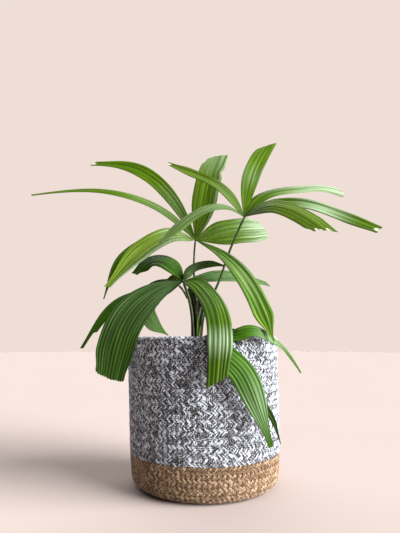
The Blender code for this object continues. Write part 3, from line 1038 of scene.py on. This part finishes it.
def braid(surface, coils, stitch, rng):
    """Points and grain of every yarn of a braided surface, and its place in its row.

    A coil is two rows of slanting arms that meet in a row of arrowheads, and
    each arm is three yarns that dip under their neighbours at both ends.
    """
    row = surface.length / coils / 2
    half_arm = row / math.sin(ARM_ANGLE) / 2 * ARM_OVERLAP
    around = np.linspace(0, 2 * math.pi, YARN_SIDES, endpoint=False) - math.pi / 2
    along, turn = np.meshgrid(YARN_PLACES, around, indexing="ij")
    points, grains, order = [], [], []
    for number in range(coils * 2):
        middle = (number + 0.5) * row
        slope = 1 if number % 2 else -1
        ring_radius = max(surface.spot(middle)[0], 3.0)
        arms = max(5, round(2 * math.pi * ring_radius / stitch))
        width = 2 * math.pi * ring_radius / arms * math.sin(ARM_ANGLE)
        start = rng.random() * 0.3
        for arm in range(arms):
            angle = 2 * math.pi * (arm + start) / arms
            tilt = ARM_ANGLE + rng.normal(0, ARM_TILT)
            shift = rng.normal(0, ARM_SHIFT)
            for yarn in range(ARM_YARNS):
                offset = (yarn + 0.5) / ARM_YARNS - 0.5
                lift = -abs(rng.normal(0, YARN_SINKING))
                fat = rng.uniform(*YARN_THICKNESSES) * width / ARM_YARNS / 2
                t = along * half_arm * rng.uniform(*YARN_LENGTHS)
                taper = 1 - END_THINNING * along ** 2
                w = offset * width + fat * taper * np.cos(turn)
                h = YARN_FLATNESS * fat * (taper * np.sin(turn) - 1) - ARM_DIP * along ** 2 + lift
                up = middle + slope * t * math.sin(tilt) + w * math.cos(tilt) + shift
                forward = t * math.cos(tilt) - slope * w * math.sin(tilt)
                radius = np.maximum(surface.spot(up)[0], 2.0)
                points.append(surface.at(up.ravel(), (angle + forward / radius).ravel(), h.ravel()))
                grains.append(np.stack([turn.ravel(), t.ravel(), np.zeros(t.size)], -1))
                order.append(arm * ARM_YARNS + yarn)
    return np.array(points), np.array(grains), np.array(order)


def choose_yarns(order, dark, light, rng):
    """Deal a colour to each yarn: dark and light ones mostly take turns."""
    is_light = (order % 2 == 1) ^ (rng.random(len(order)) < ODD_YARNS)
    lights = rng.choice(len(light), size=len(order), p=light)
    return np.where(is_light, lights, rng.choice(len(dark), size=len(order), p=dark))


def add_braid(name, profile, coil, yarns, dark, light, seed, slot, node):
    """Braid a profile in coils this high, and join the yarns of each colour."""
    surface = Surface(profile)
    rng = np.random.default_rng(seed)
    stitch = settings("palm_basket").stitch / MM
    points, grains, order = braid(surface, round(surface.length / (coil / MM)), stitch, rng)
    choice = choose_yarns(order, dark, light, rng)
    pattern = yarn_faces()
    size = points.shape[1]
    for index, (tone, material) in enumerate(yarns.items()):
        chosen = np.flatnonzero(choice == index)
        faces = [[k * size + corner for corner in face] for k in range(len(chosen)) for face in pattern]
        places = points[chosen].reshape(-1, 3) * MM
        piece = new_mesh_piece(f"{name}_{tone}", places, faces, grains[chosen].reshape(-1, 3))
        dress(piece, [material], slot, node)


def add_core(name, profile, material, slot, node):
    """A turned shell that closes the gaps behind the yarns."""
    mesh = bpy.data.meshes.new(name)
    count = len(profile)
    edges = [(i, (i + 1) % count) for i in range(count)]
    mesh.from_pydata([(r * MM, 0, z * MM) for r, z in profile], edges, [])
    piece = bpy.data.objects.new(name, mesh)
    bpy.context.collection.objects.link(piece)
    activate(piece)
    bpy.ops.object.mode_set(mode="EDIT")
    bpy.ops.mesh.select_all(action="SELECT")
    bpy.ops.mesh.spin(steps=96, angle=2 * math.pi, center=(0, 0, 0), axis=(0, 0, 1))
    bpy.ops.mesh.select_all(action="SELECT")
    bpy.ops.mesh.remove_doubles(threshold=0.01 * MM)
    bpy.ops.mesh.normals_make_consistent(inside=False)
    bpy.ops.object.mode_set(mode="OBJECT")
    places = read_points(mesh)
    places[:, 0] += lean(places[:, 2])
    write_points(mesh, places)
    bpy.ops.object.shade_smooth_by_angle(angle=math.radians(40))
    dress(piece, [material], slot, node)


class PALM_OT_braid_wall(bpy.types.Operator):
    """Braid the mottled cotton wall of the basket"""

    bl_idname = "palm.braid_wall"
    bl_label = "Braid Wall"

    def execute(self, context):
        values = settings("palm_basket")
        stands_for = ("grey_cotton", "basket_cotton_wall")
        core = yarn_surface("shadowed cotton core", srgb("#1C1C1E"), srgb("#2C2C2E"))
        add_core("wall_core", wall_core_profile(values.core_depth / MM), core, *stands_for)
        yarns = {
            "black": yarn_surface("black cotton yarn", values.black, srgb("#7C7D82")),
            "charcoal": yarn_surface("charcoal cotton yarn", values.charcoal, srgb("#C6C8CD")),
            "grey": yarn_surface("grey cotton yarn", values.grey, srgb("#2E2F32")),
            "pale": yarn_surface("pale cotton yarn", values.pale, srgb("#55565B")),
            "white": yarn_surface("white cotton yarn", values.white, srgb("#9A9CA1")),
        }
        profile = wall_profile()
        add_braid("wall_yarn", profile, values.coil, yarns, DARK_COTTON, LIGHT_COTTON, SEED, *stands_for)
        return {"FINISHED"}


class PALM_OT_braid_foot(bpy.types.Operator):
    """Braid the natural jute foot of the basket, underside included"""

    bl_idname = "palm.braid_foot"
    bl_label = "Braid Foot"

    def execute(self, context):
        values = settings("palm_basket")
        stands_for = ("jute", "basket_jute_band")
        core = yarn_surface("shadowed jute core", srgb("#3A2818"), srgb("#4A3420"))
        add_core("foot_core", foot_core_profile(values.core_depth / MM), core, *stands_for)
        yarns = {
            "dark": yarn_surface("dark jute yarn", values.jute_dark, srgb("#84684A")),
            "middle": yarn_surface("jute yarn", values.jute_middle, srgb("#604A31")),
            "light": yarn_surface("light jute yarn", values.jute_light, srgb("#856A4E")),
        }
        profile = foot_profile()
        add_braid("foot_yarn", profile, values.band_coil, yarns, DARK_JUTE, LIGHT_JUTE, SEED + 1, *stands_for)
        return {"FINISHED"}


# How many crumbs lie on the soil and how large they are, the length and height of
# the bed's coarse and fine lumps, and how deep the bed is.
CRUMBS = 900
CRUMB_SIZES = (0.7, 2.4)
LUMPS = ((9, 1.6), (3.5, 0.9))
BED_DEPTH = 12


class PALM_OT_fill_soil(bpy.types.Operator):
    """Fill the basket with crumbly potting soil"""

    bl_idname = "palm.fill_soil"
    bl_label = "Fill Soil"

    def execute(self, context):
        values = settings("palm_basket")
        material = soil_surface("damp potting soil", values.soil, srgb("#4B3A2A"))
        piece = add_grid("soil_bed", 90, 90)
        flat = read_points(piece.data)[:, :2]
        x = flat[:, 0] * np.sqrt(1 - flat[:, 1] ** 2 / 2)
        y = flat[:, 1] * np.sqrt(1 - flat[:, 0] ** 2 / 2)
        edge = BASKET_RADIUS - WALL - 0.6
        places = np.stack([x * edge, y * edge, SOIL_HEIGHT - SOIL_MOUND * ease(np.hypot(x, y))], -1)
        for place in places:
            place[2] += sum(noise.noise(Vector(place / size)) * high for size, high in LUMPS)
        places[:, 0] += lean(SOIL_HEIGHT)
        write_points(piece.data, places * MM)
        apply_modifier(piece, "SOLIDIFY", thickness=BED_DEPTH * MM, offset=-1.0)
        dress(piece, [material], "potting_soil", "potting_soil")
        activate(piece)
        bpy.ops.object.shade_smooth()
        self.add_crumbs(material)
        return {"FINISHED"}

    def add_crumbs(self, material):
        """Bits of bark and peat, one lump copied, squashed and strewn."""
        deselect_all()
        bpy.ops.mesh.primitive_ico_sphere_add(subdivisions=1, radius=1.0)
        lump = bpy.context.active_object
        shape = read_points(lump.data)
        pattern = [list(face.vertices) for face in lump.data.polygons]
        bpy.data.objects.remove(lump)
        rng = np.random.default_rng(SEED + 2)
        points, faces = [], []
        for number in range(CRUMBS):
            away = (BASKET_RADIUS - WALL - 5) * math.sqrt(rng.random())
            angle = rng.random() * 2 * math.pi
            size = rng.uniform(*CRUMB_SIZES) * np.array([1.0, rng.uniform(0.5, 0.9), rng.uniform(0.35, 0.6)])
            turn = rng.random() * math.pi
            crumb = shape * size * rng.uniform(0.8, 1.2, shape.shape)
            x = crumb[:, 0] * math.cos(turn) - crumb[:, 1] * math.sin(turn)
            y = crumb[:, 0] * math.sin(turn) + crumb[:, 1] * math.cos(turn)
            level = SOIL_HEIGHT - SOIL_MOUND * float(ease(away / BASKET_RADIUS)) + rng.uniform(-0.2, 1.0)
            middle = (away * math.cos(angle) + lean(SOIL_HEIGHT), away * math.sin(angle), level)
            points.append(np.stack([x, y, crumb[:, 2]], -1) + middle)
            faces += [[number * len(shape) + corner for corner in face] for face in pattern]
        piece = new_mesh_piece("soil_crumbs", np.concatenate(points) * MM, faces)
        dress(piece, [material], "potting_soil", "potting_soil")


# The photograph's own view: level, from the front, a little left of the middle.
CAMERA_PLACE = (-7.0, -603.0, 185.0)
SHIFT_UP = 71.5 / 533
# How far each light is turned to the right of the front, how high it stands and
# how wide it is, in degrees, and its distance in metres.
LIGHTS = {"key": (68, 23, 50), "back": (188, 25, 90), "overhead": (0, 90, 100)}
LIGHT_DISTANCE = 3.0


class PALM_OT_set_stage(bpy.types.Operator):
    """Set the camera, the pale floor and the soft light"""

    bl_idname = "palm.set_stage"
    bl_label = "Set Stage"

    def execute(self, context):
        values = settings("palm_stage")
        deselect_all()
        place = Vector(CAMERA_PLACE) * MM
        bpy.ops.object.camera_add(location=place, rotation=(math.pi / 2, 0, 0))
        camera = context.active_object
        camera.data.lens = values.lens / MM
        camera.data.shift_y = SHIFT_UP
        context.scene.camera = camera
        bpy.ops.mesh.primitive_circle_add(vertices=96, radius=6.0, fill_type="NGON")
        floor = context.active_object
        floor.name = "floor"
        floor.location = (0, 0, 0)
        floor.data.materials.append(plain_surface("matt pale floor", values.floor, 0.9))
        self.set_world(values)
        for name, (turn, rise, spread_out) in LIGHTS.items():
            self.add_light(name, math.radians(turn), math.radians(rise), spread_out, getattr(values, name))
        context.scene.view_settings.view_transform = "Standard"
        return {"FINISHED"}

    def add_light(self, name, turn, rise, spread_out, energy):
        """A broad, soft light, far away, turned to the right of the front and raised."""
        way = Vector((math.sin(turn) * math.cos(rise), -math.cos(turn) * math.cos(rise), math.sin(rise)))
        bpy.ops.object.light_add(type="SUN", location=way * LIGHT_DISTANCE)
        sun = bpy.context.active_object
        sun.name = f"{name} light"
        sun.rotation_euler = way.to_track_quat("Z", "Y").to_euler()
        sun.data.angle = math.radians(spread_out)
        sun.data.energy = energy

    def set_world(self, values):
        """Dim light from all round in front of a pale, plain backdrop."""
        world = bpy.data.worlds.new("soft studio")
        world.use_nodes = True
        tree = world.node_tree
        tree.nodes.clear()
        seen = add_node(tree, "ShaderNodeLightPath").outputs["Is Camera Ray"]
        inputs = {"Color": values.ambient, "Strength": values.fill}
        light = add_node(tree, "ShaderNodeBackground", inputs).outputs[0]
        inputs = {"Color": values.backdrop, "Strength": 1.0}
        plain = add_node(tree, "ShaderNodeBackground", inputs).outputs[0]
        either = add_node(tree, "ShaderNodeMixShader", {0: seen, 1: light, 2: plain}).outputs[0]
        add_node(tree, "ShaderNodeOutputWorld", {"Surface": either})
        bpy.context.scene.world = world


class PALM_PT_panel(bpy.types.Panel):
    """Sizes, colours and steps of the potted palm"""

    bl_idname = "PALM_PT_panel"
    bl_label = "Lady Palm"
    bl_space_type = "VIEW_3D"
    bl_region_type = "UI"
    bl_category = "Palm"

    def draw(self, context):
        for group in GROUPS:
            box = self.layout.box()
            for name in GROUPS[group].__annotations__:
                box.prop(getattr(context.scene, group), name)
        for step in STEPS:
            self.layout.operator(step.bl_idname)


GROUPS = {
    "palm_leaves": LeafSettings,
    "palm_stems": StemSettings,
    "palm_basket": BasketSettings,
    "palm_stage": StageSettings,
}
STEPS = (
    PALM_OT_set_stage,
    PALM_OT_braid_foot,
    PALM_OT_braid_wall,
    PALM_OT_fill_soil,
    PALM_OT_add_cane,
    PALM_OT_add_petioles,
    PALM_OT_add_leaves,
)


def register():
    for group in GROUPS.values():
        bpy.utils.register_class(group)
    for step in (*STEPS, PALM_PT_panel):
        bpy.utils.register_class(step)
    for name, group in GROUPS.items():
        setattr(bpy.types.Scene, name, bpy.props.PointerProperty(type=group))


def unregister():
    for name in GROUPS:
        delattr(bpy.types.Scene, name)
    for step in (PALM_PT_panel, *reversed(STEPS)):
        bpy.utils.unregister_class(step)
    for group in reversed(GROUPS.values()):
        bpy.utils.unregister_class(group)


def main():
    register()
    bpy.ops.palm.set_stage()
    bpy.ops.palm.braid_foot()
    bpy.ops.palm.braid_wall()
    bpy.ops.palm.fill_soil()
    bpy.ops.palm.add_cane()
    bpy.ops.palm.add_petioles()
    bpy.ops.palm.add_leaves()


if __name__ == "__main__":
    main()
